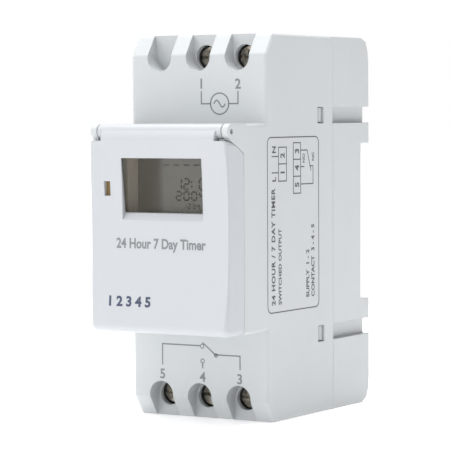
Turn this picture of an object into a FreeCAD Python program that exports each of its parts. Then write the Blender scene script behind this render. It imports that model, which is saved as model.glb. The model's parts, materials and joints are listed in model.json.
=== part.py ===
"""Two-module DIN rail time switch, modelled as an assembly of its separate pieces.

Frame, in millimetres: X to the right, Y to the back, Z up, as seen from the front.
The origin is the middle of the rail seat, the face that rests on the rail's flanges.
"""
import FreeCAD, Part
import math
import os
import re
import Sketcher
from FreeCAD import Rotation, Vector

# Driving sizes: name, value, what it is. The rest is worked out from these.
SIZES = {
    # outer case
    "width": (35.4, "two modules"),
    "height": (86, "along the wires, across the rail"),
    "case_depth": (48, "shoulder face to back face"),
    "nose_depth": (17.2, "door face in front of the shoulder face"),
    "front_depth": (30, "front housing, shoulder face to seam"),
    "rail_recess": (4, "depth of the recess for the rail"),
    "wall": (1.6, "moulded wall thickness"),
    "edge_round": (0.8, "rounding of the outer edges"),
    "seam_chamfer": (0.12, "chamfer that shows the seam"),
    "gap": (0.1, "running clearance between pieces"),
    "chamfer_rise": (4.5, "shoulder chamfer along Z"),
    "chamfer_run": (3, "shoulder chamfer along Y"),
    # nose and door
    "nose_top": (23.2, "top face of the nose"),
    "nose_bottom": (22.5, "bottom face of the nose, below the origin"),
    "door_wall_depth": (7.4, "how far the door's side walls reach back"),
    "door_floor": (1.4, "door bottom wall"),
    "door_thick": (2.4, "door plate at its top and bottom"),
    "door_round": (1.7, "rounded lower front corner of the door"),
    "door_edge": (1.2, "rounded front edges of the door"),
    "shut_gap": (0.05, "gap behind the shut door's walls"),
    "dish_radius": (200, "hollow curve of the door's face"),
    "dish_depth": (1.05, "depth of that curve in the middle"),
    "hinge_setback": (2.35, "door face to hinge axis"),
    "barrel_radius": (1.6, "hinge barrel and ears"),
    "barrel_sweep": (2.65, "room that the barrel's lip needs to turn"),
    "lip_radius": (3.6, "rounded lip from the door face to the barrel"),
    "lip_half": (14.6, "half width of that lip"),
    "pin_radius": (0.6, "hinge pin"),
    "window_left": (9.5, "window in the door, left of the middle"),
    "window_right": (11.2, "window in the door, right of the middle"),
    "window_low": (3.9, "lower edge of the window"),
    "window_high": (15.8, "upper edge of the window"),
    "sill_fall": (1.6, "height of the sloping sill below the window"),
    "lens_deep": (2.2, "door face to the lens at the window's lower edge"),
    "lens_tilt": (0.125, "lens leans forward at the top, per mm of height"),
    "lens_thick": (0.8, "lens"),
    "lens_lap": (0.8, "lens beyond the window's edges"),
    "led_across": (13.4, "lamp, left of the middle"),
    "led_up": (9.1, "lamp, above the middle"),
    "slot_wide": (1.6, "lamp slot across"),
    "slot_tall": (3.2, "lamp slot along Z"),
    # control panel behind the door
    "panel_setback": (3.8, "door face to panel face"),
    "panel_thick": (1.5, "panel plate"),
    "button_proud": (0.9, "button top above the panel"),
    "button_long": (6.5, "button across"),
    "button_tall": (3.4, "button along Z"),
    "button_pitch": (9.5, "between buttons across"),
    "row_one": (-3.5, "upper row of buttons"),
    "row_two": (-10.5, "lower row of buttons"),
    "row_reset": (-16.4, "reset pin"),
    # terminals
    "terminal_pitch": (10.15, "between terminals across"),
    "terminal_height": (38, "terminal screws above and below the middle"),
    "notch_radius": (3.1, "screwdriver notch"),
    "notch_depth": (4, "shoulder face to notch floor at the screw"),
    "notch_slope": (0.16, "slope of the notch floor"),
    "bore_radius": (2.7, "bore over the screw head"),
    "head_radius": (2.3, "M3.5 screw head"),
    "head_thick": (1.8, "M3.5 screw head"),
    "head_setback": (5.4, "shoulder face to screw head"),
    "shank_radius": (1.7, "M3.5 thread"),
    "cage_half": (3.5, "clamp cage, half across"),
    "cage_setback": (12.1, "shoulder face to open cage"),
    "cage_length": (8.7, "clamp cage along Y"),
    "cage_nut": (2, "threaded front plate of the cage"),
    "cage_sheet": (0.9, "other walls of the cage"),
    "bar_thick": (1, "terminal bar"),
    "bar_half": (2.3, "terminal bar, half across"),
    "entry_half": (2.6, "wire entry, half across"),
    # boards
    "board_thick": (1.6, "circuit boards"),
    "board_half": (14.4, "circuit boards, half across"),
    "power_front": (-5.5, "front face of the power board"),
    "power_half": (33.5, "power board, half height"),
    "display_front": (-46.5, "front face of the display board"),
    "glass_front": (-53.5, "front face of the display glass"),
    # rear base
    "recess_top": (18.1, "rail recess, upper edge"),
    "recess_bottom": (18.35, "rail recess, lower edge, below the origin"),
    "groove_low": (23.1, "side groove, nearer edge"),
    "groove_high": (26.8, "side groove, farther edge"),
    "groove_deep": (1.8, "side groove"),
    "rail_flange": (1, "thickness of the rail's flange"),
    "hook_reach": (16.2, "hooks' tips from the origin"),
    "latch_half": (5, "rail latch, half across"),
    "slot_top": (-29, "top of the latch's spring slot"),
    "peg_top": (-36.5, "top of the base's spring peg"),
    "spring_wire": (0.15, "latch spring's wire, radius"),
    "spring_radius": (0.85, "latch spring's coil, to the wire's middle"),
    "spring_depth": (2.5, "latch spring's axis behind the rail seat"),
    # fixings and posts
    "post_across": (12.9, "display board's posts from the middle"),
    "post_up": (4.7, "display board's posts above the nose's bottom"),
    "pillar_across": (12.2, "power board's pillars from the middle"),
    "pillar_up": (24.5, "power board's pillars above and below the middle"),
}

HALF = "width / 2"
TOP = "height / 2"
SHOULDER = "(rail_recess - case_depth)"
DOOR_FACE = "(rail_recess - case_depth - nose_depth)"
SEAM = "(rail_recess - case_depth + front_depth)"
INNER = "(width / 2 - wall)"
LEDGE = "(rail_recess - case_depth - nose_depth + door_wall_depth)"
PANEL = "(rail_recess - case_depth - nose_depth + panel_setback)"
DOOR_BACK = "(rail_recess - case_depth - nose_depth + door_thick)"
HINGE_Y = "(rail_recess - case_depth - nose_depth + hinge_setback)"
HINGE_Z = "(nose_top - barrel_radius)"
BUTTON_FACE = "(rail_recess - case_depth - nose_depth + panel_setback - button_proud)"
BLOCK_BACK = "(rail_recess - case_depth + notch_depth + 1.1)"
CAGE_FRONT = "(rail_recess - case_depth + cage_setback)"
LAMP_ACROSS = ("-led_across - slot_wide / 2", "-led_across + slot_wide / 2")
LAMP_UP = ("led_up - slot_tall / 2", "led_up + slot_tall / 2")
SPRING_TURNS = 7
TERMINALS = {1: (0, 1), 2: (1, 1), 3: (1, -1), 4: (0, -1), 5: (-1, -1)}

doc = FreeCAD.newDocument("time_switch")
sheet = doc.addObject("Spreadsheet::Sheet", "Sizes")
for row, (name, (size, note)) in enumerate(SIZES.items(), start=1):
    sheet.set(f"A{row}", name)
    sheet.set(f"B{row}", str(size))
    sheet.setAlias(f"B{row}", name)
    sheet.set(f"C{row}", note)
doc.recompute()
PARTS = {}


def formula(text):
    """Point every size name in a formula at its spreadsheet cell."""
    return re.sub(r"[A-Za-z_]+", lambda m: f"Sizes.{m[0]}" if m[0] in SIZES else m[0], str(text))


def value(text):
    """The number that a formula gives."""
    return float(sheet.evalExpression(formula(text)))


def bind(thing, formulas):
    """Bind properties to formulas over the spreadsheet."""
    for path, text in formulas.items():
        thing.setExpression(path, formula(text))


def box(x, y, z):
    """A block between the (low, high) pairs along X, Y and Z."""
    block = doc.addObject("Part::Box", "Block")
    for axis, side, (low, high) in zip("xyz", ("Length", "Width", "Height"), (x, y, z)):
        bind(block, {side: f"({high}) - ({low})", f"Placement.Base.{axis}": low})
    return block


def rod(axis, x, y, z, radius):
    """A round bar along one axis; that axis has a (low, high) pair, the others a place."""
    spot = {"x": x, "y": y, "z": z}
    low, high = spot[axis]
    spot[axis] = low
    bar = doc.addObject("Part::Cylinder", "Rod")
    bar.Placement.Rotation = {
        "x": Rotation(Vector(0, 1, 0), 90),
        "y": Rotation(Vector(1, 0, 0), -90),
        "z": Rotation(),
    }[axis]
    bind(bar, {"Radius": radius, "Height": f"({high}) - ({low})"})
    bind(bar, {f"Placement.Base.{letter}": place for letter, place in spot.items()})
    return bar


def joined(kind, pieces):
    """One boolean of several pieces."""
    result = doc.addObject(kind, "Joined")
    result.Shapes = pieces
    result.Refine = True
    return result


def fuse(*pieces):
    return joined("Part::MultiFuse", pieces)


def common(*pieces):
    return joined("Part::MultiCommon", pieces)


def group(*pieces):
    """Separate solids that share one node."""
    cluster = doc.addObject("Part::Compound", "Group")
    cluster.Links = pieces
    return cluster


def cut(base, *tools):
    """A piece less its cutters."""
    result = doc.addObject("Part::Cut", "Cut")
    result.Base = base
    result.Tool = tools[0] if len(tools) == 1 else fuse(*tools)
    result.Refine = True
    return result


def mirrored(piece, normal=(1, 0, 0)):
    """The same piece on the other side of the middle."""
    copy = doc.addObject("Part::Mirroring", "Mirror")
    copy.Source = piece
    copy.Normal = Vector(*normal)
    return copy


def prism(plane, span, outline):
    """A sketched outline padded over span; YZ outlines run along X, XZ along Y, XY along Z."""
    low, high = span
    body = doc.addObject("PartDesign::Body", "Prism")
    sketch = body.newObject("Sketcher::SketchObject", "Outline")
    origin = [item for item in body.Origin.OriginFeatures if item.Role == f"{plane}_Plane"]
    sketch.AttachmentSupport = [(origin[0], "")]
    sketch.MapMode = "FlatFace"
    offset = f"-({high})" if plane == "XZ" else low
    sketch.setExpression("AttachmentOffset.Base.z", formula(offset))
    corners = [Vector(value(u), value(v), 0) for u, v in outline]
    count = len(corners)
    for index, corner in enumerate(corners):
        sketch.addGeometry(Part.LineSegment(corner, corners[(index + 1) % count]), False)
    for index in range(count):
        sketch.addConstraint(Sketcher.Constraint("Coincident", index, 2, (index + 1) % count, 1))
    for index, corner in enumerate(corners):
        for kind, place, text in zip(("DistanceX", "DistanceY"), corner, outline[index]):
            number = sketch.addConstraint(Sketcher.Constraint(kind, -1, 1, index, 1, place))
            sketch.setExpression(f"Constraints[{number}]", formula(text))
    pad = body.newObject("PartDesign::Pad", "Pad")
    pad.Profile = sketch
    pad.setExpression("Length", formula(f"({high}) - ({low})"))
    return body


def dress(body, kind, size, wanted):
    """Round or chamfer the edges of a body that the test wanted picks."""
    doc.recompute()
    names = [f"Edge{n}" for n, edge in enumerate(body.Shape.Edges, start=1) if wanted(edge)]
    base = body.Tip
    feature = body.newObject(f"PartDesign::{kind}", kind)
    feature.Base = (base, names)
    feature.setExpression("Radius" if kind == "Fillet" else "Size", formula(size))
    return body


def reaches(edge, axis, limit, side=-1):
    """Whether an edge has an end beyond limit along an axis, towards side."""
    return any(side * (getattr(vertex.Point, axis) - limit) > 0.01 for vertex in edge.Vertexes)


def runs_along(edge, axis):
    """Whether a straight edge lies along an axis."""
    line = edge.Vertexes[-1].Point - edge.Vertexes[0].Point
    return abs(getattr(line, axis)) > 0.999 * line.Length


def keep(label, piece):
    """Name a finished sub-part."""
    piece.Label = label
    PARTS[label] = piece


def column(number):
    """The place of a column of terminals along X."""
    return f"({number} * terminal_pitch)"


def between(low, high, side):
    """A (low, high) pair, or its mirror image below the middle."""
    return (low, high) if side > 0 else (f"-({high})", f"-({low})")


# ---------------------------------------------------------------- front housing

def shoulder_block():
    """The full-width block behind the nose, with its long chamfers above and below."""
    slope_z = f"({TOP} - chamfer_rise)"
    slope_y = f"({SHOULDER} + chamfer_run)"
    block = prism("YZ", (f"-{HALF}", HALF), [
        (SEAM, f"-{TOP}"), (slope_y, f"-{TOP}"), (SHOULDER, f"-{slope_z}"),
        (SHOULDER, slope_z), (slope_y, TOP), (SEAM, TOP)])
    return dress(block, "Fillet", "edge_round", lambda edge: reaches(edge, "y", value(SEAM)))


def nose_block():
    """The nose: full width at the back, narrower in front where the door's walls fit over it."""
    root = f"({SHOULDER} + 4)"
    rear = prism("YZ", (f"-{HALF}", HALF), [
        (root, "-nose_bottom"), (LEDGE, "-nose_bottom"), (LEDGE, "nose_top"), (root, "nose_top")])
    dress(rear, "Fillet", "edge_round", lambda edge: runs_along(edge, "y"))
    side = f"({INNER} - gap)"
    core = box((f"-{side}", side), (PANEL, root), ("-nose_bottom + door_floor + gap", "nose_top"))
    roof = box((f"-{INNER}", INNER), (f"{LEDGE} - 3", root), ("nose_top - 3.2", "nose_top"))
    sweep = rod("x", (f"-{INNER}", INNER), HINGE_Y, HINGE_Z, "barrel_sweep")
    return fuse(rear, cut(fuse(core, roof), sweep), *ears())


def ears():
    """The case's cheeks above the door's walls, each ending in the ear that holds a pin."""
    cheek = prism("YZ", (INNER, HALF), [
        (f"{LEDGE} + 1", "nose_top - 6.3"), (LEDGE, "nose_top - 6.3"),
        (f"{LEDGE} - 5.6", "nose_top - 3.4"), (HINGE_Y, "nose_top"), (f"{LEDGE} + 1", "nose_top")])
    ear = fuse(cheek, rod("x", (INNER, HALF), HINGE_Y, HINGE_Z, "barrel_radius"))
    return ear, mirrored(ear)


def notch(place, side):
    """A U-shaped screwdriver notch with a sloping floor, open to the end face."""
    x = column(place)
    far = f"({TOP} + 1)"
    near = "(terminal_height - 8)"
    ahead = f"({SHOULDER} - 1)"

    def floor_at(z):
        return f"{SHOULDER} + notch_depth - notch_slope * ({z} - terminal_height)"

    shape = fuse(
        rod("y", x, (ahead, f"{SHOULDER} + 8"), f"{side} * terminal_height", "notch_radius"),
        box((f"{x} - notch_radius", f"{x} + notch_radius"), (ahead, f"{SHOULDER} + 8"),
            between("terminal_height", far, side)))
    reach = prism("YZ", (f"{x} - 4", f"{x} + 4"), [
        (ahead, f"{side} * {near}"), (floor_at(near), f"{side} * {near}"),
        (floor_at(far), f"{side} * {far}"), (ahead, f"{side} * {far}")])
    return common(shape, reach)


def terminal_spaces():
    """The notches, chambers, screw bores and wire entries of the terminals."""
    tools = []
    for side in (1, -1):
        for place in (-1, 0, 1):
            x = column(place)
            tools.append(notch(place, side))
            tools.append(box((f"{x} - terminal_pitch / 2 + 0.6", f"{x} + terminal_pitch / 2 - 0.6"),
                             (BLOCK_BACK, SEAM), between("terminal_height - 5", f"{TOP} - wall", side)))
    for place, side in TERMINALS.values():
        x = column(place)
        tools.append(rod("y", x, (f"{BLOCK_BACK} - 4", f"{BLOCK_BACK} + 1"),
                         f"{side} * terminal_height", "bore_radius"))
        tools.append(box((f"{x} - entry_half", f"{x} + entry_half"),
                         (f"{CAGE_FRONT} + 3.2", f"{CAGE_FRONT} + cage_length - 1"),
                         between(f"{TOP} - 3", f"{TOP} + 1", side)))
    return tools


def hollow():
    """The room inside the case and the nose."""
    narrow = f"({INNER} - 1.5)"
    low = "-nose_bottom + door_floor + 1.5"
    back = f"({PANEL} + panel_thick)"
    return [
        box((f"-{INNER}", INNER), (f"{SHOULDER} + wall", f"{SEAM} + 1"),
            ("-terminal_height + 4.9", "terminal_height - 4.9")),
        box((f"-{INNER}", INNER), (f"{SEAM} - 8", f"{SEAM} + 1"), (f"-{TOP} + wall", f"{TOP} - wall")),
        box((f"-{INNER}", INNER), (f"{LEDGE} + 1.4", f"{SHOULDER} + 3"),
            ("-nose_bottom + door_floor", "nose_top - wall")),
        box((f"-{narrow}", narrow), (f"{LEDGE} - 0.8", f"{LEDGE} + 2"), (low, "nose_top - wall")),
        box((f"-{narrow}", narrow), (back, f"{LEDGE} - 0.7"), (low, "nose_top - 5.7")),
    ]


def stadium(x, z, y, grow=0):
    """The button's outline: a bar with round ends, over the (low, high) pair y."""
    radius = f"(button_tall / 2 + {grow})"
    reach = "(button_long / 2 - button_tall / 2)"
    return fuse(
        box((f"{x} - {reach}", f"{x} + {reach}"), y, (f"{z} - {radius}", f"{z} + {radius}")),
        rod("y", f"{x} - {reach}", y, z, radius),
        rod("y", f"{x} + {reach}", y, z, radius))


BUTTONS = {
    "program_button": (-1, "row_one"),
    "manual_button": (0, "row_one"),
    "clock_button": (1, "row_one"),
    "day_button": (-1, "row_two"),
    "hour_button": (0, "row_two"),
    "minute_button": (1, "row_two"),
}


def panel_openings():
    """Holes in the panel for the display, the lamp, the buttons and the reset pin."""
    through = (f"{PANEL} - 1", f"{PANEL} + panel_thick + 1")
    tools = [
        box(("-window_left - 1.5", "window_right + 1.7"), through, ("window_low - 2.5", "window_high + 1.4")),
        box(LAMP_ACROSS, through, LAMP_UP),
        rod("y", 0, through, "row_reset", "1"),
    ]
    for place, height in BUTTONS.values():
        tools.append(stadium(f"({place} * button_pitch)", height, through, "gap"))
    return tools


def snap_windows():
    """Side windows that the rear base's tabs click into."""
    tools = []
    for side in (1, -1):
        window = box((f"{INNER} - 1", f"{HALF} + 1"), (f"{SEAM} - 7.1", f"{SEAM} - 4.2"),
                     between("groove_low", "groove_high", side))
        tools += [window, mirrored(window)]
    return tools


def board_posts(radius, y):
    """Round bars on the axes of the two posts behind the panel for the display board."""
    return [rod("y", f"{side} * post_across", y, "-nose_bottom + post_up", radius) for side in (1, -1)]


def front_housing():
    outside = fuse(shoulder_block(), nose_block())
    shell = cut(outside, *hollow(), *terminal_spaces(), *panel_openings(), *snap_windows())
    posts = board_posts("1.4", (f"{PANEL} + 1", "display_front"))
    whole = fuse(shell, *posts)
    pin_holes = rod("x", (f"-{HALF} - 1", f"{HALF} + 1"), HINGE_Y, HINGE_Z, "pin_radius")
    pilots = board_posts("0.75", ("display_front - 5", "display_front + 1"))
    keep("front_housing", cut(whole, pin_holes, *pilots))


# ---------------------------------------------------------------- rear base and rail latch

def back_corner(side):
    """The eased corner between an end face and the back, from the end face inwards."""
    steps = ((3.6, 0), (1.4, 0.9), (0.4, 3), (0, 6))
    return [(f"rail_recess - {back}", f"{side} * ({TOP} - {down})") for back, down in steps]


def pillars(y, radius):
    """Round bars on the two axes of the power board's screws."""
    return [rod("y", f"{side} * pillar_across", y, f"{-side} * pillar_up", radius) for side in (1, -1)]


def rear_base():
    outside = prism("YZ", (f"-{HALF}", HALF), [
        (SEAM, f"-{TOP}"), *back_corner(-1), ("rail_recess", "-recess_bottom"), (0, "-recess_bottom"),
        (0, "recess_top"), ("rail_recess", "recess_top"), *reversed(back_corner(1)), (SEAM, TOP)])
    dress(outside, "Fillet", "edge_round / 2", lambda edge: reaches(edge, "y", value(SEAM), 1)
          and abs(edge.CenterOfMass.x) > value(HALF) - 0.1)
    dress(outside, "Chamfer", "seam_chamfer", lambda edge: not reaches(edge, "y", value(SEAM), 1))
    inside = [
        box((f"-{INNER}", INNER), (f"{SEAM} - 1", "-wall"), (f"-{TOP} + wall", f"{TOP} - wall")),
        box((f"-{INNER} + wall", f"{INNER} - wall"), ("-wall - 1", "rail_recess - 1.8"),
            ("recess_top + 1.9", f"{TOP} - 4.5")),
    ]
    additions = [
        box(("-14", "14"), ("rail_flange + 0.15", "rail_recess"), ("hook_reach", "recess_top + 0.5")),
        *pillars(("power_front + board_thick", "rail_recess - 1.4"), "2.1"),
    ]
    grooves = []
    for side in (1, -1):
        rib = box((f"{INNER} - wall", f"{INNER} + 0.1"), (SEAM, "-wall + 0.1"),
                  between("groove_low - 1.2", "groove_high + 1.2", side))
        arm = box((f"{INNER} - wall + gap", f"{INNER} - gap"), (f"{SEAM} - 8", f"{SEAM} + 1"),
                  between("groove_low + 0.2", "groove_high - 0.2", side))
        barb = prism("XY", between("groove_low + 0.2", "groove_high - 0.2", side), [
            (f"{INNER} - 0.3", f"{SEAM} - 7"), (f"{INNER} + 1.1", f"{SEAM} - 5.6"),
            (f"{INNER} + 1.1", f"{SEAM} - 4.4"), (f"{INNER} - 0.3", f"{SEAM} - 4.4")])
        groove = box((f"{HALF} - groove_deep", f"{HALF} + 1"), (f"{SEAM} - 0.01", "rail_recess + 1"),
                     between("groove_low", "groove_high", side))
        tab = fuse(rib, arm, barb)
        additions += [tab, mirrored(tab)]
        grooves += [groove, mirrored(groove)]
    screw_holes = pillars(("power_front", 1), "1")
    shell = fuse(cut(outside, *inside), *additions)
    peg = box(("-1.2", "1.2"), ("0.9", "rail_recess - 0.6"), ("peg_top - 1.4", "peg_top"))
    keep("rear_base", fuse(cut(shell, *grooves, *screw_holes, *latch_channel()), peg))


def latch_channel():
    """T-shaped channel for the rail latch, open at the bottom and into the recess."""
    ends = (f"-{TOP} - 1", "-recess_bottom + 1")
    return [
        box(("-latch_half - 1.6", "latch_half + 1.6"), ("1.3", "2.5"), ends),
        box(("-latch_half - gap", "latch_half + gap"), ("2.4", "rail_recess + 1"), ends),
    ]


def rail_latch():
    tip = "-hook_reach + 0.2"
    tail = f"-{TOP} + 0.3"
    flange = box(("-latch_half - 1.5", "latch_half + 1.5"), ("1.4", "2.4"), (tail, tip))
    rib = prism("YZ", ("-latch_half", "latch_half"), [
        ("2.4", tail), ("rail_recess - 0.4", tail), ("rail_recess - 0.4", f"{tip} - 1"),
        ("rail_recess - 1.2", tip), ("2.4", tip)])
    spring_slot = box(("-1.3", "1.3"), ("1", "rail_recess"), ("peg_top - 1.5", "slot_top"))
    tool_slot = box(("-2.5", "2.5"), ("1", "rail_recess"), ("-41.8", "-40.6"))
    keep("rail_latch", cut(fuse(flange, rib), spring_slot, tool_slot))


def latch_spring():
    """A helical spring between the base's peg and the top of the latch's slot."""
    wire = value("spring_wire")
    radius = value("spring_radius")
    low = value("peg_top")
    height = value("slot_top") - low - 2 * wire
    coil = Part.makeHelix(height / SPRING_TURNS, height, radius)
    section = Part.Wire(Part.Circle(Vector(radius, 0, 0), Vector(0, 1, 0), wire).toShape())
    spring = doc.addObject("Part::Feature", "Spring")
    spring.Shape = Part.Wire(coil).makePipeShell([section], True, True)
    spring.Placement.Base = Vector(0, value("spring_depth"), low + wire)
    keep("latch_spring", spring)


# ---------------------------------------------------------------- door

def door():
    shut = f"({LEDGE} - shut_gap)"
    slab = prism("YZ", (f"-{HALF}", HALF), [
        (shut, "-nose_bottom"), (shut, "nose_top - 6.45"), (f"{LEDGE} - 5.55", "nose_top - 3.6"),
        (DOOR_FACE, "nose_top - 3.6"), (DOOR_FACE, "-nose_bottom")])
    front = value(DOOR_FACE)
    foot = -value("nose_bottom")
    dress(slab, "Fillet", "door_round", lambda edge: runs_along(edge, "x")
          and edge.CenterOfMass.y < front + 0.01 and edge.CenterOfMass.z < foot + 0.01)
    dress(slab, "Fillet", "door_edge", lambda edge: abs(edge.CenterOfMass.x) > value(HALF) - 0.1
          and edge.CenterOfMass.y < front + 1.5)
    lip_zone = box(("-lip_half", "lip_half"), (DOOR_FACE, HINGE_Y), ("nose_top - 5.2", "nose_top"))
    lip_round = rod("x", ("-lip_half", "lip_half"), f"{DOOR_FACE} + lip_radius",
                    "nose_top - lip_radius", "lip_radius")
    barrel_half = f"({INNER} - 2 * gap)"
    barrel = rod("x", (f"-{barrel_half}", barrel_half), HINGE_Y, HINGE_Z, "barrel_radius")
    room = box((f"-{INNER}", INNER), (DOOR_BACK, f"{LEDGE} + 1"),
               ("-nose_bottom + door_floor", "nose_top - 4"))
    middle = f"({DOOR_FACE} + dish_depth - dish_radius)"
    dish = rod("x", (f"-{HALF} - 1", f"{HALF} + 1"), middle, 0, "dish_radius")
    lamp_slot = box(LAMP_ACROSS, (f"{DOOR_FACE} - 1", DOOR_BACK), LAMP_UP)
    plate = cut(fuse(slab, common(lip_zone, lip_round)), room, dish, window_cutter(), lamp_slot)
    pin_hole = rod("x", (f"-{HALF}", HALF), HINGE_Y, HINGE_Z, "pin_radius + 0.08")
    keep("door", cut(fuse(plate, barrel), pin_hole))


def lens_at(z):
    """Where the lens's front face is at that height."""
    return f"({DOOR_FACE} + lens_deep - lens_tilt * ({z} - window_low))"


def window_cutter():
    """The window's hole with its sloping sill, and the wider rebate behind for the lens."""
    ahead = f"{DOOR_FACE} - 1"
    behind = f"{DOOR_BACK} + 0.5"
    hole = prism("YZ", ("-window_left", "window_right"), [
        (ahead, "window_high"), (behind, "window_high"), (behind, "window_low"),
        (lens_at("window_low"), "window_low"), (f"{DOOR_FACE} + dish_depth", "window_low - sill_fall"),
        (ahead, "window_low - sill_fall")])
    return fuse(hole, lens_block(behind, behind))


def lens_block(back_low, back_high):
    """The lens's outline, from its tilted front face to a back that runs between two depths."""
    low, high = "window_low - lens_lap", "window_high + lens_lap"
    return prism("YZ", ("-window_left - lens_lap", "window_right + lens_lap"), [
        (lens_at(low), low), (lens_at(high), high), (back_high, high), (back_low, low)])


def door_fittings():
    low, high = "window_low - lens_lap", "window_high + lens_lap"
    keep("display_lens", lens_block(f"{lens_at(low)} + lens_thick", f"{lens_at(high)} + lens_thick"))
    plug = box(LAMP_ACROSS, (f"{DOOR_FACE} + 1.7", f"{DOOR_BACK} + 0.6"), LAMP_UP)
    flange = box(("-led_across - slot_wide", "-led_across + slot_wide"), (DOOR_BACK, f"{DOOR_BACK} + 0.6"),
                 ("led_up - slot_tall", "led_up + slot_tall"))
    keep("lamp_window", fuse(plug, flange))
    pin = rod("x", (f"{INNER} - 1.6", f"{HALF} - 0.6"), HINGE_Y, HINGE_Z, "pin_radius")
    keep("hinge_pins", group(pin, mirrored(pin)))


# ---------------------------------------------------------------- terminals

def terminal_screw(number, place, side):
    x = column(place)
    z = f"{side} * terminal_height"
    top = f"({SHOULDER} + head_setback)"
    seat = f"({top} + head_thick)"
    cross = [box((f"{x} - {a}", f"{x} + {a}"), (f"{top} - 1", f"{top} + 0.9"), (f"{z} - {b}", f"{z} + {b}"))
             for a, b in ((1.55, 0.32), (0.32, 1.55))]
    slot = box((f"{x} - head_radius", f"{x} + head_radius"), (f"{top} - 1", f"{top} + 0.45"),
               (f"{z} - 0.32", f"{z} + 0.32"))
    head = cut(rod("y", x, (top, seat), z, "head_radius"), *cross, slot)
    shank = rod("y", x, (seat, f"{CAGE_FRONT} + cage_nut"), z, "shank_radius")
    keep(f"terminal_screw_{number}", fuse(head, shank))


def terminal_clamp(number, place, side):
    """A rectangular cage that climbs the screw and pulls the wire against the bar."""
    x = column(place)
    z = f"{side} * terminal_height"
    back = f"({CAGE_FRONT} + cage_length)"
    reach = "(cage_half - 0.25)"
    block = box((f"{x} - cage_half", f"{x} + cage_half"), (CAGE_FRONT, back),
                (f"{z} - {reach}", f"{z} + {reach}"))
    window = box((f"{x} - cage_half + cage_sheet", f"{x} + cage_half - cage_sheet"),
                 (f"{CAGE_FRONT} + cage_nut", f"{back} - 1"), (f"{z} - 5", f"{z} + 5"))
    thread = rod("y", x, (f"{CAGE_FRONT} - 1", f"{CAGE_FRONT} + cage_nut + 1"), z, "shank_radius + gap")
    keep(f"terminal_clamp_{number}", cut(block, window, thread))


def terminal_bar(number, place, side):
    """An L-shaped bar from the clamp to the power board."""
    x = column(place)
    front = f"({CAGE_FRONT} + cage_nut + gap)"
    inner = f"{side} * (terminal_height - 8)"
    bend = f"{side} * (terminal_height - 8 + bar_thick)"
    outer = f"{side} * (terminal_height + 2.6)"
    bar = prism("YZ", (f"{x} - bar_half", f"{x} + bar_half"), [
        (front, outer), (front, inner), ("power_front", inner), ("power_front", bend),
        (f"{front} + bar_thick", bend), (f"{front} + bar_thick", outer)])
    keep(f"terminal_bar_{number}", bar)


# ---------------------------------------------------------------- display board and controls

def display_stack():
    left, right = "(-window_left - 0.3)", "(window_right + 0.5)"
    low, high = "(window_low - 1.3)", "(window_high + 0.4)"
    sleeve = box((f"{left} - 1.1", f"{right} + 1.1"), (PANEL, "glass_front"),
                 (f"{low} - 1.1", f"{high} + 0.9"))
    rim = box((f"{left} - 1.9", f"{right} + 1.9"), (f"{PANEL} + panel_thick", f"{PANEL} + panel_thick + 1"),
              (f"{low} - 1.9", f"{high} + 0.9"))
    opening = box((left, right), (f"{PANEL} - 1", "glass_front + 1"), (low, high))
    keep("display_bezel", cut(fuse(sleeve, rim), opening))
    keep("display_glass", box((f"{left} - 1.8", f"{right} + 1.8"), ("glass_front", "glass_front + 2.5"),
                              (f"{low} - 1.8", f"{high} + 2.1")))
    strips = [box((f"{left} - 0.8", f"{right} + 0.8"), ("glass_front + 2.5", "display_front"), span)
              for span in ((f"{low} - 1.6", low), (f"{high} + 0.3", f"{high} + 1.9"))]
    keep("contact_strips", group(*strips))


def display_board():
    back = "(display_front + board_thick)"
    plate = box(("-board_half", "board_half"), ("display_front", back),
                ("-nose_bottom + 3.2", "nose_top - 4.3"))
    keep("display_board", cut(plate, *board_posts("0.85", ("display_front - 1", f"{back} + 1"))))
    heads = board_posts("1.4", (back, f"{back} + 0.9"))
    shanks = board_posts("0.75", ("display_front - 4", back))
    keep("display_board_screws", group(*[fuse(*screw) for screw in zip(heads, shanks)]))
    dimple = rod("y", -9.5, (f"{back} + 1.4", f"{back} + 2"), -1.5, "0.6")
    keep("microcontroller", cut(box((-11, 1), (back, f"{back} + 1.6"), (-12, 0)), dimple))
    keep("crystal", rod("x", (3, 9), f"{back} + 1", 6, "1"))
    keep("backup_battery", rod("y", 8, (back, f"{back} + 4.6"), -8, "5.6"))


def buttons():
    stop = f"({PANEL} + panel_thick + 0.05)"
    tip = "(display_front - 2.8)"
    for label, (place, height) in BUTTONS.items():
        x = f"({place} * button_pitch)"
        cap = stadium(x, height, (BUTTON_FACE, f"{stop} + 0.8"))
        collar = box((f"{x} - 4.1", f"{x} + 4.1"), (stop, f"{stop} + 0.8"),
                     (f"{height} - 2.6", f"{height} + 2.6"))
        keep(label, fuse(cap, collar, rod("y", x, (stop, tip), height, "1.3")))
    pin = fuse(rod("y", 0, (f"{PANEL} + 0.4", tip), "row_reset", "0.9"),
               rod("y", 0, (stop, f"{stop} + 0.8"), "row_reset", "1.8"))
    keep("reset_button", pin)


def switches():
    spots = [(f"({place} * button_pitch)", height) for place, height in BUTTONS.values()]
    spots.append(("0", "row_reset"))
    bodies = []
    domes = []
    for x, z in spots:
        shell = box((f"{x} - 2.9", f"{x} + 2.9"), ("display_front - 3.5", "display_front"),
                    (f"{z} - 2.9", f"{z} + 2.9"))
        bodies.append(cut(shell, rod("y", x, ("display_front - 4", "display_front"), z, "1.6")))
        domes.append(rod("y", x, ("display_front - 2.1", "display_front"), z, "1.4"))
    keep("switch_bodies", group(*bodies))
    keep("switch_domes", group(*domes))


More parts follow.
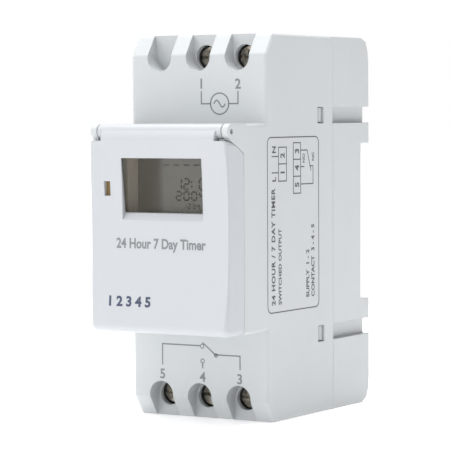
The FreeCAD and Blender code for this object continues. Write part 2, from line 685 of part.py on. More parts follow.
def lamp():
    tip = "(display_front - 4)"
    bulb = fuse(rod("y", "-led_across", (f"{tip} + 1", "display_front"), "led_up", "1.15"),
                rod("y", "-led_across", ("display_front - 1", "display_front"), "led_up", "1.2"))
    keep("led", bulb)
    keep("light_pipe", box(("-led_across - slot_wide / 2 + 0.1", "-led_across + slot_wide / 2 - 0.1"),
                           (f"{PANEL} - 0.6", f"{tip} + 0.9"),
                           ("led_up - slot_tall / 2 + 0.1", "led_up + slot_tall / 2 - 0.1")))


# ---------------------------------------------------------------- power board and relay

def power_board():
    back = "(power_front + board_thick)"
    plate = box(("-board_half", "board_half"), ("power_front", back), ("-power_half", "power_half"))
    keep("power_board", cut(plate, *pillars(("power_front - 1", f"{back} + 1"), "1.1")))
    heads = pillars(("power_front - 1.2", "power_front"), "1.8")
    shanks = pillars(("power_front", "0.5"), "1")
    keep("power_board_screws", group(*[fuse(*screw) for screw in zip(heads, shanks)]))
    keep("suppression_capacitor", box((-13, 5), ("power_front - 12", "power_front"), (9, 16.5)))
    keep("storage_capacitor", rod("y", 9.8, ("power_front - 12", "power_front"), 13, "4"))
    keep("varistor", rod("z", 4, "power_front - 5", (-28.5, -25.5), "4.8"))
    keep("rectifier_diodes", group(*[rod("x", (-10, -5.5), "power_front - 1.35", 19.5 + 2.7 * n, "1.3")
                                     for n in range(4)]))
    keep("dropper_resistors", group(*[rod("x", (-4, 4), "power_front - 1.6", 20 + 3.6 * n, "1.5")
                                      for n in range(2)]))


def relay():
    """A changeover relay: coil, yoke, tilting armature and two fixed contacts."""
    lid = "(power_front - 20)"
    floor = "(power_front - 2)"
    seat = "power_front"
    cover = cut(box((-15.5, 12.5), (lid, seat), (-11, 5)),
                box((-14.5, 11.5), (f"{lid} + 1", f"{seat} + 1"), (-10, 4)))
    keep("relay_cover", cover)
    keep("relay_base", box((-14.3, 11.3), (floor, seat), (-9.8, 3.8)))
    core_x, core_z = -4, -3
    pole = "(power_front - 12.4)"
    winding = fuse(rod("y", core_x, (f"{pole} + 0.5", f"{floor} - 1.1"), core_z, "5"),
                   rod("y", core_x, (f"{pole} + 0.5", f"{pole} + 1.1"), core_z, "5.6"),
                   rod("y", core_x, (f"{floor} - 1.7", f"{floor} - 1.1"), core_z, "5.6"))
    keep("relay_coil", cut(winding, rod("y", core_x, (pole, floor), core_z, "2.1")))
    keep("relay_yoke", fuse(
        box((-6.5, 4.2), (f"{floor} - 1", floor), (-7, 1)),
        box((3, 4.2), (f"{pole} - 0.7", floor), (-7, 1)),
        rod("y", core_x, (pole, floor), core_z, "2"),
        rod("y", core_x, (pole, f"{pole} + 0.4"), core_z, "2.8")))
    plate = f"({pole} - 0.85)"
    keep("relay_armature", fuse(
        box((-9.5, 4.1), (f"{plate} - 1.05", plate), (-7, 1)),
        rod("z", 4.1, f"{plate} - 0.525", (-7, 1), "0.525"),
        box((-13, 2), (f"{plate} - 1.35", f"{plate} - 1.05"), (-4.5, -1.5)),
        rod("y", -11.6, (f"{plate} - 1.95", f"{plate} - 0.35"), core_z, "1.4")))
    rest = fuse(rod("y", -11.6, (f"{plate} - 2.85", f"{plate} - 2.05"), core_z, "1.4"),
                box((-14.2, -10.2), (f"{plate} - 3.25", f"{plate} - 2.85"), (-5, -1)),
                box((-14.2, -13.6), (f"{plate} - 3.25", floor), (-5, -1)))
    work = fuse(rod("y", -11.6, (f"{plate} + 0.85", f"{plate} + 1.55"), core_z, "1.4"),
                box((-13.2, -10.2), (f"{plate} + 1.55", f"{plate} + 1.95"), (-5, -1)),
                box((-13.2, -12.7), (f"{plate} + 1.55", floor), (-5, -1)))
    keep("relay_contacts", group(rest, work))


def ribbon_cable():
    """The flat cable between the boards: three straight runs and two equal bends."""
    start, end = value("display_front + board_thick"), value("power_front")
    high, low = -15.5, -24.5
    thick, wide, bend = 0.9, 7.6, 8.0
    turn = start + 14
    corners = [Vector(0, start, high), Vector(0, turn, high),
               Vector(0, turn + high - low, low), Vector(0, end, low)]
    level = Vector(0, 1, 0)
    slope = (corners[2] - corners[1]).normalize()
    tangent = bend * math.tan(math.radians(22.5))
    sagitta = bend * (1 / math.cos(math.radians(22.5)) - 1)
    inward = (slope - level).normalize()
    path = [corners[0]]
    edges = []
    for corner, before, after, side in ((corners[1], level, slope, 1), (corners[2], slope, level, -1)):
        enter, leave = corner - before * tangent, corner + after * tangent
        middle = corner + inward * side * sagitta
        edges += [Part.LineSegment(path[-1], enter).toShape(), Part.Arc(enter, middle, leave).toShape()]
        path.append(leave)
    edges.append(Part.LineSegment(path[-1], corners[3]).toShape())
    flat = [(-1, -1), (1, -1), (1, 1), (-1, 1), (-1, -1)]
    section = Part.makePolygon([Vector(u * wide / 2, start, high + v * thick / 2) for u, v in flat])
    cable = doc.addObject("Part::Feature", "Ribbon")
    cable.Shape = Part.Wire(edges).makePipeShell([section], True, False)
    cable.Placement.Base = Vector(-7, 0, 0)
    keep("ribbon_cable", cable)


def build():
    front_housing()
    rear_base()
    rail_latch()
    latch_spring()
    door()
    door_fittings()
    for number, (place, side) in TERMINALS.items():
        terminal_screw(number, place, side)
        terminal_clamp(number, place, side)
        terminal_bar(number, place, side)
    display_stack()
    display_board()
    buttons()
    switches()
    lamp()
    power_board()
    relay()
    ribbon_cable()


def check():
    """Stop on any failed object or bad shape."""
    doc.recompute()
    failed = [thing.Label for thing in doc.Objects if {"Invalid", "Error"} & set(thing.State)]
    bad = [label for label, piece in PARTS.items() if piece.Shape.isNull() or not piece.Shape.isValid()]
    if failed or bad:
        raise RuntimeError(f"failed objects: {failed}, bad shapes: {bad}")


def write():
    """One STEP file for each sub-part."""
    os.makedirs("parts", exist_ok=True)
    for label, piece in PARTS.items():
        piece.Shape.exportStep(f"parts/{label}.step")
        solids = len(piece.Shape.Solids)
        print(f"{label}: {solids} solid(s), {piece.Shape.Volume:.1f} mm3")


build()
check()
write()
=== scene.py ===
"""Looks for the two-module time switch: materials, printed diagrams, display, stage and camera.

Everything is in the row frame, in metres: X to the right, Y to the back, Z up.
"""
import bmesh
import bpy
import json
import math
from mathutils import Matrix, Vector


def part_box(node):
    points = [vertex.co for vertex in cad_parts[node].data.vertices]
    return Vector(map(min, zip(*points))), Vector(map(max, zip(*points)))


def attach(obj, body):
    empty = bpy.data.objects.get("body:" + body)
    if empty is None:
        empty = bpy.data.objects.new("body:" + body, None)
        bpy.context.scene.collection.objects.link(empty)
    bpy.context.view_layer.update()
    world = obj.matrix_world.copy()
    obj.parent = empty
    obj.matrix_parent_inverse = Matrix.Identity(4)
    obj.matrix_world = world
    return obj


MM = 0.001
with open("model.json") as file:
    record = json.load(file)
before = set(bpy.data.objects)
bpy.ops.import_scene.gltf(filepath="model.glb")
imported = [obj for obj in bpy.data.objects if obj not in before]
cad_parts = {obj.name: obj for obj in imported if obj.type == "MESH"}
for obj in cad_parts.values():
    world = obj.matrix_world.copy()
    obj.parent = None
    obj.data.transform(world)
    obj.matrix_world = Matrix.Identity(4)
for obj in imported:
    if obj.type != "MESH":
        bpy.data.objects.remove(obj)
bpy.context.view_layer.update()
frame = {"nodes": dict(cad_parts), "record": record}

# Places taken from the CAD nodes, and the sizes that the CAD's outer faces follow.
CASE_DEPTH = 48 * MM
PANEL_SETBACK = 3.8 * MM
CASE_LOW, CASE_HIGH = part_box("front_housing")
BASE_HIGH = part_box("rear_base")[1]
DOOR_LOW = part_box("door")[0]
GLASS_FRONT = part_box("display_glass")[0].y
HALF = CASE_HIGH.x
PANEL = DOOR_LOW.y + PANEL_SETBACK
SHOULDER = BASE_HIGH.y - CASE_DEPTH
DISH_RADIUS = 200 * MM
DISH_DEPTH = 1.05 * MM

# The printing's thickness, and where the display's painted dark reflection on its left part gives way to a
# lighter tone, with half the width of that blend.
INK = 0.02 * MM
DARK_REFLECTION_END = -3.6 * MM
DARK_REFLECTION_BLEND = 0.8 * MM


# ---------------------------------------------------------------- shader nodes

class Look:
    """A node material with a Principled shader and a few short ways to feed it."""

    def __init__(self, name, colour, rough, metallic=0.0):
        self.material = bpy.data.materials.new(name)
        self.material.use_nodes = True
        self.tree = self.material.node_tree
        self.shader = self.tree.nodes["Principled BSDF"]
        self.colour = colour
        self.set("Base Color", (*colour, 1))
        self.set("Roughness", rough)
        self.set("Metallic", metallic)
        self.place = self.node("ShaderNodeTexCoord").outputs["Object"]

    def set(self, socket, value):
        """Give a shader socket a constant, or link it to an output."""
        if isinstance(value, bpy.types.NodeSocket):
            self.tree.links.new(value, self.shader.inputs[socket])
        else:
            self.shader.inputs[socket].default_value = value

    def node(self, kind, inputs=None, **settings):
        """A new node with its settings, and its inputs as constants or links."""
        made = self.tree.nodes.new(kind)
        for name, value in settings.items():
            setattr(made, name, value)
        for socket, value in (inputs or {}).items():
            if isinstance(value, bpy.types.NodeSocket):
                self.tree.links.new(value, made.inputs[socket])
            else:
                made.inputs[socket].default_value = value
        return made

    def stretched(self, stretch):
        """Object coordinates, squeezed by a factor along each axis."""
        return self.node("ShaderNodeMapping", {"Vector": self.place, "Scale": stretch}).outputs[0]

    def noise(self, size, detail=3.0, stretch=None):
        """Noise whose patches are about size metres across."""
        where = self.stretched(stretch) if stretch else self.place
        made = self.node("ShaderNodeTexNoise", {"Vector": where, "Scale": 1 / size, "Detail": detail})
        return made.outputs["Fac"]

    def span(self, value, low, high, start=0.3, end=0.7):
        """The value's start-to-end stretch turned into low to high."""
        made = self.node("ShaderNodeMapRange", {
            "Value": value, "From Min": start, "From Max": end, "To Min": low, "To Max": high})
        return made.outputs["Result"]

    def mix(self, factor, first, second):
        """One colour, or output, blended into another."""
        made = self.node("ShaderNodeMix", {"Factor": factor}, data_type="RGBA")
        for socket, colour in ((6, first), (7, second)):
            if isinstance(colour, bpy.types.NodeSocket):
                self.tree.links.new(colour, made.inputs[socket])
            else:
                made.inputs[socket].default_value = (*colour, 1)
        return made.outputs[2]

    def tint(self, shade):
        """The look's own colour, darker or lighter."""
        return tuple(min(1.0, part * shade) for part in self.colour)

    def bump(self, height, depth, strength=1.0, normal=None):
        """Relief of that depth in metres."""
        inputs = {"Height": height, "Distance": depth, "Strength": strength}
        if normal is not None:
            inputs["Normal"] = normal
        return self.node("ShaderNodeBump", inputs).outputs["Normal"]


def moulded(name, colour, rough, grain=0.25 * MM, relief=0.012 * MM, rounding=0.0, edge_highlight_and_wear=1.06):
    """Injection-moulded plastic: faint flow marks, satin grain, and edges painted a little brighter, partly
    as a painted highlight on their rounding and partly as rubbing.
    """
    look = Look(name, colour, rough)
    flow = look.span(look.noise(22 * MM, 4, (1, 1, 0.35)), 0, 1)
    skin = look.noise(grain, 4)
    shade = look.mix(flow, look.tint(0.975), look.tint(1.012))
    shade = look.mix(look.span(skin, 0, 0.22, 0.45, 0.62), shade, look.tint(0.93))
    normal = None
    if rounding:
        soft = look.node("ShaderNodeBevel", {"Radius": rounding}, samples=4).outputs["Normal"]
        flat = look.node("ShaderNodeNewGeometry").outputs["Normal"]
        agree = look.node("ShaderNodeVectorMath", {0: soft, 1: flat}, operation="DOT_PRODUCT")
        bend = look.span(agree.outputs["Value"], 1, 0, 0.80, 0.995)
        patchy_highlight_and_wear = look.span(look.noise(1.5 * MM, 3), 0.35, 1)
        edge = look.node("ShaderNodeMath", {0: bend, 1: patchy_highlight_and_wear}, operation="MULTIPLY")
        # Painted highlight: the rounded edges are painted lighter, partly standing in for the highlight
        # along their rounding and partly for rubbing.
        shade = look.mix(edge.outputs[0], shade, look.tint(edge_highlight_and_wear))
        normal = soft
    look.set("Base Color", shade)
    look.set("Roughness", look.span(look.noise(3 * MM, 3), rough - 0.05, rough + 0.06))
    look.set("Normal", look.bump(skin, relief, 0.5, normal))
    return look.material


def metal(name, colour, rough, brush=(1, 1, 1), tarnish_and_shade=0.75, pitch=0.12 * MM):
    """Plated or drawn metal: fine tool marks along one way, and dulled, darker patches of tarnish, on the
    screws also painted shade.
    """
    look = Look(name, colour, rough, 1.0)
    marks = look.noise(pitch, 4, brush)
    tarnish_and_shade_patches = look.span(look.noise(1.6 * MM, 4), 0, 1, 0.42, 0.66)
    look.set("Base Color", look.mix(tarnish_and_shade_patches, look.colour, look.tint(tarnish_and_shade)))
    look.set("Roughness", look.span(tarnish_and_shade_patches, rough, min(1.0, rough + 0.2), 0, 1))
    look.set("Normal", look.bump(marks, 0.01 * MM, 0.4))
    return look.material


def clear(name, colour, rough, alpha):
    """Clear plastic with faint wiping marks."""
    look = Look(name, colour, rough)
    wiped = look.noise(6 * MM, 5, (1, 1, 3))
    look.set("Base Color", look.mix(look.span(wiped, 0, 0.4), look.colour, look.tint(1.1)))
    look.set("Roughness", look.span(wiped, rough, rough + 0.06))
    look.set("Alpha", alpha)
    look.set("IOR", 1.49)
    look.set("Normal", look.bump(wiped, 0.004 * MM, 0.2))
    return look.material


def rubbery(name, colour, rough):
    """Moulded silicone: matt, with a slight bloom at grazing angles."""
    look = Look(name, colour, rough)
    bloom = look.span(look.noise(1.2 * MM, 4), 0, 1)
    look.set("Base Color", look.mix(bloom, look.tint(0.93), look.tint(1.07)))
    look.set("Roughness", look.span(bloom, rough - 0.05, rough + 0.08, 0, 1))
    look.set("Sheen Weight", 0.15)
    look.set("Normal", look.bump(look.noise(0.12 * MM, 2), 0.01 * MM, 0.5))
    return look.material


def circuit(name, colour):
    """Solder mask over copper tracks, with the glass weave just showing."""
    look = Look(name, colour, 0.3)
    grid = {"Vector": look.place, "Scale": 1 / (2.4 * MM), "Randomness": 0.75}
    lattice = look.node("ShaderNodeTexVoronoi", grid, distance="MANHATTAN", feature="F1")
    track = look.span(lattice.outputs["Distance"], 1, 0, 0.42, 0.46)
    weave = look.noise(0.5 * MM, 2)
    mask = look.mix(look.span(weave, 0, 1), look.tint(0.9), look.tint(1.08))
    look.set("Base Color", look.mix(track, mask, look.tint(1.7)))
    look.set("Roughness", look.span(weave, 0.25, 0.38))
    look.set("Normal", look.bump(track, 0.03 * MM, 0.5))
    look.set("Coat Weight", 0.3)
    return look.material


def wound(name, colour):
    """Turns of enamelled copper wire."""
    look = Look(name, colour, 0.32, 0.85)
    waves = {"Vector": look.place, "Scale": 1 / (1.6 * MM), "Distortion": 0.4, "Detail": 1.0}
    turns = look.node("ShaderNodeTexWave", waves, bands_direction="Y").outputs["Fac"]
    # Painted shade and highlight: each turn is painted darker in the grooves between turns and lighter on
    # its crest.
    look.set("Base Color", look.mix(turns, look.tint(0.55), look.tint(1.1)))
    look.set("Roughness", look.span(look.noise(1 * MM), 0.28, 0.42))
    look.set("Normal", look.bump(turns, 0.08 * MM, 0.9))
    return look.material


def ribbed(name, colour):
    """Flat cable: a round rib over each of its conductors."""
    look = Look(name, colour, 0.42)
    waves = {"Vector": look.place, "Scale": 1 / (8 * MM)}
    ribs = look.node("ShaderNodeTexWave", waves, bands_direction="X").outputs["Fac"]
    # Painted shade and highlight: the cable is painted darker in the grooves between ribs and lighter on
    # their crests.
    look.set("Base Color", look.mix(ribs, look.tint(0.72), look.tint(1.05)))
    look.set("Roughness", look.span(look.noise(1 * MM), 0.36, 0.5))
    look.set("Normal", look.bump(ribs, 0.12 * MM, 0.8))
    return look.material


def crystal(name, colour):
    """The liquid crystal cell: cover glass over a grained polariser, with a painted dark reflection over its
    left part and a lighter tone to the right.
    """
    look = Look(name, colour, 0.30)
    film = look.span(look.noise(0.9 * MM, 2), 0, 1)
    # Painted reflection: the cell's left part is painted dark and the rest lighter, standing in for the dark
    # reflection across it.
    along = look.node("ShaderNodeSeparateXYZ", {0: look.place}).outputs["X"]
    past_dark_reflection = look.span(along, 0, 1, DARK_REFLECTION_END - DARK_REFLECTION_BLEND, DARK_REFLECTION_END + DARK_REFLECTION_BLEND)
    painted_reflection_tone = look.mix(past_dark_reflection, look.tint(0.18), look.tint(1.30))
    look.set("Base Color", look.mix(look.span(film, 0, 0.12, 0, 1), painted_reflection_tone, look.tint(0.4)))
    look.set("Roughness", look.span(film, 0.26, 0.34, 0, 1))
    look.set("Coat Weight", 1.0)
    look.set("Coat Roughness", 0.04)
    look.set("Normal", look.bump(film, 0.002 * MM, 0.12))
    return look.material


def inked(name, colour, rough=0.6):
    """Pad-printed ink, slightly uneven in cover."""
    look = Look(name, colour, rough)
    cover = look.noise(0.35 * MM, 4)
    look.set("Base Color", look.mix(look.span(cover, 0, 1), look.colour, look.tint(1.25)))
    look.set("Roughness", look.span(cover, rough - 0.08, rough + 0.1))
    look.set("Normal", look.bump(cover, 0.004 * MM, 0.4))
    return look.material


LOOKS = {
    "case": moulded("HousingPlastic", (0.520, 0.542, 0.552), 0.40, rounding=0.35 * MM, edge_highlight_and_wear=1.15),
    "door": moulded("DoorPlastic", (0.482, 0.501, 0.526), 0.36, rounding=0.35 * MM, edge_highlight_and_wear=1.15),
    "lens": clear("LensAcrylic", (0.09, 0.077, 0.057), 0.03, 0.24),
    "pin_steel": metal("PinSteel", (0.52, 0.52, 0.52), 0.35, (8, 1, 1)),
    "latch": moulded("LatchNylon", (0.045, 0.045, 0.05), 0.5, rounding=0.25 * MM, edge_highlight_and_wear=1.6),
    "spring_steel": metal("SpringWire", (0.55, 0.55, 0.54), 0.3, (1, 1, 6)),
    # The screws' dark colour and strong dark patches are partly tarnish and partly painted shade, standing
    # in for the deep shadow of their bores.
    "screw_steel": metal("ScrewNickel", (0.40, 0.36, 0.30), 0.2, (1, 6, 1), tarnish_and_shade=0.22),
    "clamp_steel": metal("ClampZinc", (0.62, 0.60, 0.52), 0.38, (1, 5, 1), tarnish_and_shade=0.8),
    "bar_brass": metal("BarBrass", (0.70, 0.52, 0.24), 0.33, (6, 1, 1), tarnish_and_shade=0.7),
    "bezel": moulded("BezelPlastic", (0.60, 0.54, 0.46), 0.5, rounding=0.15 * MM),
    "display": crystal("CrystalCell", (0.190, 0.205, 0.193)),
    "silicone": rubbery("ContactSilicone", (0.16, 0.16, 0.17), 0.6),
    "circuit_board": circuit("SolderMask", (0.03, 0.16, 0.07)),
    "black_plastic": moulded("ChipEpoxy", (0.025, 0.025, 0.028), 0.5, grain=0.15 * MM),
    "can_metal": metal("CanSteel", (0.66, 0.66, 0.66), 0.28, (1, 1, 5)),
    "button": rubbery("KeyRubber", (0.24, 0.25, 0.27), 0.55),
    "reset": moulded("ResetPin", (0.50, 0.05, 0.04), 0.4),
    "lamp": clear("LampEpoxy", (0.62, 0.10, 0.03), 0.12, 0.85),
    "light_pipe": clear("PipeAcrylic", (0.235, 0.155, 0.062), 0.2, 0.94),
    "capacitor_box": moulded("CapacitorBox", (0.62, 0.50, 0.06), 0.3),
    "capacitor_sleeve": moulded("CapacitorSleeve", (0.03, 0.035, 0.06), 0.28, edge_highlight_and_wear=1.3),
    "varistor": moulded("VaristorCoat", (0.05, 0.16, 0.42), 0.35, grain=0.5 * MM, relief=0.03 * MM),
    "resistor": moulded("ResistorBody", (0.33, 0.52, 0.60), 0.38, grain=0.4 * MM, relief=0.02 * MM),
    "relay_case": moulded("RelayCover", (0.035, 0.036, 0.04), 0.25, rounding=0.2 * MM, edge_highlight_and_wear=1.5),
    "relay_moulding": moulded("RelayBase", (0.03, 0.03, 0.03), 0.45),
    "winding": wound("CoilWinding", (0.60, 0.28, 0.12)),
    "relay_iron": metal("RelayIron", (0.52, 0.52, 0.50), 0.36, (1, 1, 6)),
    "contact_metal": metal("ContactBrass", (0.74, 0.66, 0.48), 0.3, (6, 1, 1)),
    "cable": ribbed("CableGrey", (0.42, 0.43, 0.45)),
}

for row in frame["record"]["subparts"]:
    cad_mesh = frame["nodes"][row["node"]].data
    cad_mesh.materials.clear()
    cad_mesh.materials.append(LOOKS[row["material_slot"]])

GREY_INK = inked("InkGrey", (0.17, 0.18, 0.19))
DARK_INK = inked("InkDark", (0.07, 0.075, 0.085))
NAVY_INK = inked("InkNavy", (0.045, 0.055, 0.10))
SEGMENT_INK = inked("SegmentDark", (0.012, 0.013, 0.013), 0.6)


# ---------------------------------------------------------------- printing

def stroke(points, width, closed=False):
    """A printed line through 2-D points, mitred at its corners, as a thin closed solid."""
    places = [Vector(point) for point in points]
    count = len(places)
    rails = []
    for index, here in enumerate(places):
        before = places[index - 1] if closed or index else None
        after = places[(index + 1) % count] if closed or index < count - 1 else None
        ways = [(here - before).normalized()] if before else []
        ways += [(after - here).normalized()] if after else []
        along = sum(ways, Vector((0, 0))).normalized()
        across = Vector((-along.y, along.x)) * (width / 2 / max(0.4, along.dot(ways[0])))
        rails.append((here + across, here - across))
    vertices = [(*side, height) for pair in rails for side in pair for height in (0, INK)]
    faces = []
    for index in range(count if closed else count - 1):
        a = 4 * index
        b = 4 * ((index + 1) % count)
        faces += [(a, b, b + 2, a + 2), (a + 1, a + 3, b + 3, b + 1),
                  (a, a + 1, b + 1, b), (a + 2, b + 2, b + 3, a + 3)]
    if not closed:
        last = 4 * (count - 1)
        faces += [(0, 2, 3, 1), (last, last + 1, last + 3, last + 2)]
    return vertices, faces


def ring(centre, radius, width, steps=40):
    """A printed circle."""
    turn = [2 * math.pi * step / steps for step in range(steps)]
    return stroke([(centre[0] + radius * math.cos(a), centre[1] + radius * math.sin(a)) for a in turn],
                  width, closed=True)


def frame_line(low, high, width, radius=0.0, steps=6):
    """A printed rectangle, with rounded corners if it has a radius."""
    corners = [(high[0], high[1]), (low[0], high[1]), (low[0], low[1]), (high[0], low[1])]
    if not radius:
        return stroke(corners, width, closed=True)
    points = []
    for quarter, (x, y) in enumerate(corners):
        inward = ((-1, -1), (1, -1), (1, 1), (-1, 1))[quarter]
        for step in range(steps + 1):
            angle = math.pi / 2 * (quarter + step / steps)
            points.append((x + inward[0] * radius + radius * math.cos(angle),
                           y + inward[1] * radius + radius * math.sin(angle)))
    return stroke(points, width, closed=True)


def lettering(text, size, at, upright=True, align="CENTER", stretch=1.0, bold=0.022, spacing=1.0):
    """A line of plain lettering, its middle or left end at that point of the print's plane."""
    curve = bpy.data.curves.new("lettering", "FONT")
    curve.body = text
    curve.size = size
    curve.align_x = align
    curve.extrude = INK / 2
    curve.offset = size * bold
    curve.space_character = spacing
    curve.resolution_u = 4
    holder = bpy.data.objects.new("lettering", curve)
    bpy.context.scene.collection.objects.link(holder)
    bpy.context.view_layer.update()
    mesh = bpy.data.meshes.new_from_object(holder.evaluated_get(bpy.context.evaluated_depsgraph_get()))
    vertices = []
    for vertex in mesh.vertices:
        u, v, height = vertex.co.x * stretch, vertex.co.y, vertex.co.z + INK / 2
        if not upright:
            u, v = -v, u
        vertices.append((at[0] + u, at[1] + v, height))
    faces = [tuple(polygon.vertices) for polygon in mesh.polygons]
    bpy.data.objects.remove(holder)
    bpy.data.curves.remove(curve)
    bpy.data.meshes.remove(mesh)
    return vertices, faces


def printed(name, body, prints, place, ink):
    """One piece from several prints, laid on the body's surface by place(u, v, height)."""
    mesh = bpy.data.meshes.new(name)
    build = bmesh.new()
    for vertices, faces in prints:
        corners = [build.verts.new(place(*vertex)) for vertex in vertices]
        for face in faces:
            build.faces.new([corners[index] for index in face])
    bmesh.ops.remove_doubles(build, verts=build.verts, dist=INK / 10)
    bmesh.ops.recalc_face_normals(build, faces=build.faces)
    build.to_mesh(mesh)
    build.free()
    mesh.materials.append(ink)
    piece = bpy.data.objects.new(name, mesh)
    bpy.context.scene.collection.objects.link(piece)
    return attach(piece, body)


def millimetres(points):
    """Points given in millimetres, in metres."""
    return [(u * MM, v * MM) for u, v in points]


def on_shoulder(u, v, height):
    """The case's front face above and below the nose."""
    return u, SHOULDER - height, v


def on_side(u, v, height):
    """The case's right side: u runs to the back, v up."""
    return HALF + height, u, v


def on_door(u, v, height):
    """The door's face is a hollow cylinder along X, deepest at mid height."""
    centre = DOOR_LOW.y + DISH_DEPTH - DISH_RADIUS
    return u, centre + math.sqrt(DISH_RADIUS ** 2 - v ** 2) - height, v


def on_glass(u, v, height):
    """The front of the display glass."""
    return u, GLASS_FRONT - height, v


def on_panel(u, v, height):
    """The key panel behind the door."""
    return u, PANEL - height, v


# Line widths, the terminal numbers' size, and a capital's middle height as a share of its size.
LINE = 0.32 * MM
THIN_LINE = LINE * 0.8
DIGIT = 3.1 * MM
CAPITAL_MIDDLE = 0.35


def digit(text, x, z):
    """A numeral centred on (x, z), in millimetres."""
    return lettering(text, DIGIT, (x * MM, z * MM - DIGIT * CAPITAL_MIDDLE))


def supply_diagram():
    """Terminals 1 and 2 with the supply's symbol between them."""
    centre = (5.65, 27.6)
    radius = 2.35
    wave = [(centre[0] + 1.5 * step / 12, centre[1] - 0.75 * math.sin(math.pi * step / 12))
            for step in range(-12, 13)]
    return [
        digit("1", 0.9, 32.1),
        digit("2", 10.4, 32.0),
        stroke(millimetres([(0.9, 30.4), (0.9, centre[1]), (centre[0] - radius, centre[1])]), LINE),
        stroke(millimetres([(10.4, 30.4), (10.4, centre[1]), (centre[0] + radius, centre[1])]), LINE),
        ring((centre[0] * MM, centre[1] * MM), radius * MM, LINE),
        stroke(millimetres(wave), LINE),
    ]


def contact_diagram():
    """Terminals 3, 4 and 5 with the changeover contact between them."""
    return [
        digit("5", -9.8, -33.2),
        digit("4", 0.85, -33.4),
        digit("3", 10.5, -33.4),
        stroke(millimetres([(-9.8, -31.2), (-9.8, -26.45), (0.3, -26.45)]), LINE),
        stroke(millimetres([(0.75, -25.7), (1.5, -26.2), (4.35, -28.45)]), LINE),
        stroke(millimetres([(4.4, -28.3), (10.6, -28.3), (10.6, -31.4)]), LINE),
        ring((0.75 * MM, -26.55 * MM), 0.46 * MM, LINE * 0.7, 20),
        ring((4.35 * MM, -28.45 * MM), 0.36 * MM, LINE * 0.9, 20),
        ring((0.85 * MM, -29.85 * MM), 0.46 * MM, LINE * 0.7, 20),
        stroke(millimetres([(0.85, -30.3), (0.85, -31.5)]), LINE),
    ]


def cells(u_low, u_high, edges, names):
    """A row of numbered boxes up the side label."""
    prints = [frame_line((u_low * MM, edges[0] * MM), (u_high * MM, edges[-1] * MM), THIN_LINE)]
    for edge in edges[1:-1]:
        prints.append(stroke(millimetres([(u_low, edge), (u_high, edge)]), THIN_LINE))
    middle = (u_low + u_high) / 2
    for name, low, high in zip(names, edges, edges[1:]):
        prints.append(sideways(name, middle, (low + high) / 2, 2.5))
    return prints


def sideways(text, u, v, size, align="CENTER", spacing=1.0):
    """Lettering that reads upwards, its middle line at u, in millimetres."""
    return lettering(text, size * MM, ((u + size * CAPITAL_MIDDLE) * MM, v * MM), upright=False, align=align,
                     bold=0.03, spacing=spacing)


def side_label():
    """The framed label on the right side: supply, contact and two captions, all generic."""
    return [
        frame_line((-43.8 * MM, -18.6 * MM), (-20.7 * MM, 20.1 * MM), THIN_LINE, 1.5 * MM),
        sideways("N", -40.9, 17.4, 2.2),
        sideways("L", -40.9, 10.8, 2.2),
        stroke(millimetres([(-41.9, 15.9), (-38.9, 15.9)]), THIN_LINE),
        stroke(millimetres([(-41.9, 12.3), (-38.9, 12.3)]), THIN_LINE),
        *cells(-38.9, -35.4, (10.4, 14.2, 17.9), "12"),
        *cells(-32.3, -29.0, (7.5, 11.3, 15.1, 18.8), "543"),
        stroke(millimetres([(-29.0, 17.1), (-26.0, 17.1), (-24.2, 12.4)]), THIN_LINE),
        stroke(millimetres([(-29.0, 13.4), (-27.3, 13.4)]), THIN_LINE),
        stroke(millimetres([(-24.9, 13.5), (-23.3, 13.5), (-23.3, 9.5), (-29.0, 9.5)]), THIN_LINE),
        sideways("NO", -27.6, 15.3, 1.35),
        sideways("NC", -23.3, 15.6, 1.35),
        sideways("24 HOUR / 7 DAY TIMER", -41.3, -17.0, 2.15, "LEFT", 1.12),
        sideways("SWITCHED OUTPUT", -38.4, -17.0, 1.75, "LEFT", 1.05),
        sideways("SUPPLY  1 - 2", -25.9, -16.2, 1.9, "LEFT"),
        sideways("CONTACT  3 - 4 - 5", -23.5, -16.2, 1.9, "LEFT"),
    ]


printed("print_supply_diagram", "case", supply_diagram(), on_shoulder, GREY_INK)
printed("print_contact_diagram", "case", contact_diagram(), on_shoulder, GREY_INK)
printed("print_side_label", "case", side_label(), on_side, DARK_INK)
caption = lettering("24 Hour 7 Day Timer", 3.05 * MM, (0.3 * MM, -3.85 * MM), stretch=0.85, bold=0.03)
numbers = lettering("1 2 3 4 5", 3.0 * MM, (-13.4 * MM, -16.6 * MM), align="LEFT", stretch=1.06, bold=0.04)
printed("print_door_caption", "door", [caption], on_door, GREY_INK)
printed("print_door_rating", "door", [numbers], on_door, NAVY_INK)


# ---------------------------------------------------------------- display

SEGMENTS = {
    "a": ((0, 2), (1, 2)), "b": ((1, 2), (1, 1)), "c": ((1, 1), (1, 0)), "d": ((0, 0), (1, 0)),
    "e": ((0, 1), (0, 0)), "f": ((0, 2), (0, 1)), "g": ((0, 1), (1, 1)),
}
NUMERALS = {"0": "abcdef", "1": "bc", "2": "abged", "3": "abgcd", "4": "fgbc", "5": "afgcd"}


def numerals(text, left, low, wide, tall, pitch, width):
    """Seven-segment numerals on the glass, in millimetres."""
    prints = []
    for index, name in enumerate(text):
        x = left + index * pitch
        if name == ":":
            for share in (0.3, 0.7):
                dot = low + tall * share
                prints.append(stroke(millimetres([(x, dot - width / 2), (x, dot + width / 2)]), width * MM))
            continue
        for segment in NUMERALS[name]:
            ends = [Vector((x + wide * u, low + tall * v / 2)) for u, v in SEGMENTS[segment]]
            inset = (ends[1] - ends[0]).normalized() * width * 0.35
            prints.append(stroke(millimetres([ends[0] + inset, ends[1] - inset]), width * MM))
    return prints


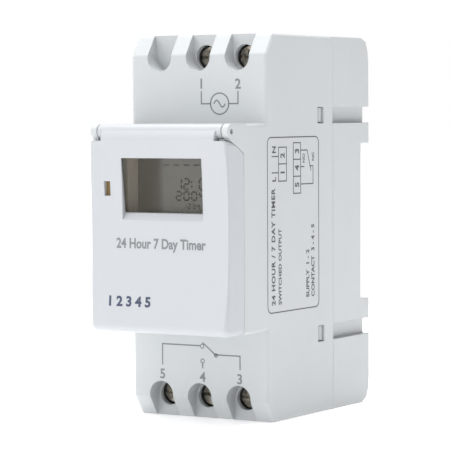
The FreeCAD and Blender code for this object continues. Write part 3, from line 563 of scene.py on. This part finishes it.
def display_prints():
    """Week bars along the top, the time in two rows, and a small mode line."""
    week = [stroke(millimetres([(-8.2 + 2.6 * day, 14.2), (-6.8 + 2.6 * day, 14.2)]), 0.28 * MM)
            for day in range(7)]
    return [
        *numerals("12:05", 0.2, 8.85, 1.35, 2.35, 2.0, 0.42),
        *numerals("2004", 0.2, 6.5, 1.3, 1.85, 2.0, 0.4),
        *numerals("1234", 2.1, 4.65, 0.62, 1.05, 1.15, 0.24),
        *week,
    ]


printed("display_segments", "case", display_prints(), on_glass, SEGMENT_INK)


# ---------------------------------------------------------------- key legends

KEYS = {"program_button": "P", "manual_button": "M", "clock_button": "C",
        "day_button": "D", "hour_button": "H", "minute_button": "m"}
KEY_LETTER = 1.9 * MM


def key_legends():
    """A letter on the panel above each key, and a ring round the reset hole."""
    prints = []
    for node, letter in KEYS.items():
        low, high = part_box(node)
        prints.append(lettering(letter, KEY_LETTER, ((low.x + high.x) / 2, high.z + 0.25 * MM)))
    low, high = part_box("reset_button")
    prints.append(ring(((low.x + high.x) / 2, (low.z + high.z) / 2), 1.7 * MM, 0.2 * MM))
    prints.append(lettering("R", KEY_LETTER, (3.2 * MM, (low.z + high.z) / 2 - KEY_LETTER * CAPITAL_MIDDLE)))
    return prints


printed("print_key_legends", "case", key_legends(), on_panel, DARK_INK)


# ---------------------------------------------------------------- stage, light and camera

def surface(name, size, at, material):
    """A flat square for the stage."""
    mesh = bpy.data.meshes.new(name)
    reach = size / 2
    corners = [(x * reach, y * reach, 0) for x, y in ((-1, -1), (1, -1), (1, 1), (-1, 1))]
    mesh.from_pydata(corners, [], [(0, 1, 2, 3)])
    mesh.materials.append(material)
    thing = bpy.data.objects.new(name, mesh)
    thing.location = at
    bpy.context.scene.collection.objects.link(thing)


def area_light(name, at, size, power):
    """A soft square light that looks at the middle of the object."""
    data = bpy.data.lights.new(name, "AREA")
    data.size = size
    data.energy = power
    light = bpy.data.objects.new(name, data)
    light.location = at
    light.rotation_euler = Vector(at).to_track_quat("Z", "Y").to_euler()
    bpy.context.scene.collection.objects.link(light)


FLOOR_SIZE = 6
paper = Look("FloorPaper", (0.93, 0.93, 0.93), 0.9)
paper.set("Emission Color", (1, 1, 1, 1))
paper.set("Emission Strength", 0.35)
paper.set("Normal", paper.bump(paper.noise(1.5 * MM, 3), 0.01 * MM, 0.2))
surface("floor", FLOOR_SIZE, (0, 0, CASE_LOW.z), paper.material)

# The studio's walls are white, and the one on the right is darker.
RIGHT_WALL = 0.45
world = bpy.data.worlds.new("Studio")
world.use_nodes = True
nodes = world.node_tree.nodes
links = world.node_tree.links
nodes["Background"].inputs["Color"].default_value = (1.0, 1.0, 1.0, 1)
way = nodes.new("ShaderNodeSeparateXYZ")
links.new(nodes.new("ShaderNodeTexCoord").outputs["Generated"], way.inputs["Vector"])
fall = nodes.new("ShaderNodeMapRange")
fall.inputs["From Min"].default_value = 0.0
fall.inputs["From Max"].default_value = 0.5
fall.inputs["To Min"].default_value = 1.0
fall.inputs["To Max"].default_value = RIGHT_WALL
links.new(way.outputs["X"], fall.inputs["Value"])
links.new(fall.outputs["Result"], nodes["Background"].inputs["Strength"])
bpy.context.scene.world = world
area_light("Overhead", (-0.05, -0.05, 0.75), 0.6, 7.0)
area_light("FrontLeft", (-0.75, -0.7, 0.35), 0.7, 1.0)

# The camera's place, turns and lens were fitted to the object's corners, with the object's sizes held.
CAMERA_PLACE = (0.2715, -0.4787, 0.0258)
YAW, PITCH, ROLL = (math.radians(angle) for angle in (31.33, 2.82, -0.30))
LENS = 183.9
SENSOR = 36
camera = bpy.data.objects.new("Camera", bpy.data.cameras.new("Camera"))
camera.data.sensor_width = SENSOR
camera.data.lens = LENS
camera.data.clip_start = 0.01
camera.matrix_world = (Matrix.Translation(CAMERA_PLACE) @ Matrix.Rotation(YAW, 4, "Z")
                       @ Matrix.Rotation(math.pi / 2 - PITCH, 4, "X") @ Matrix.Rotation(ROLL, 4, "Z"))
bpy.context.scene.collection.objects.link(camera)
bpy.context.scene.camera = camera
bpy.context.scene.view_settings.view_transform = "Standard"
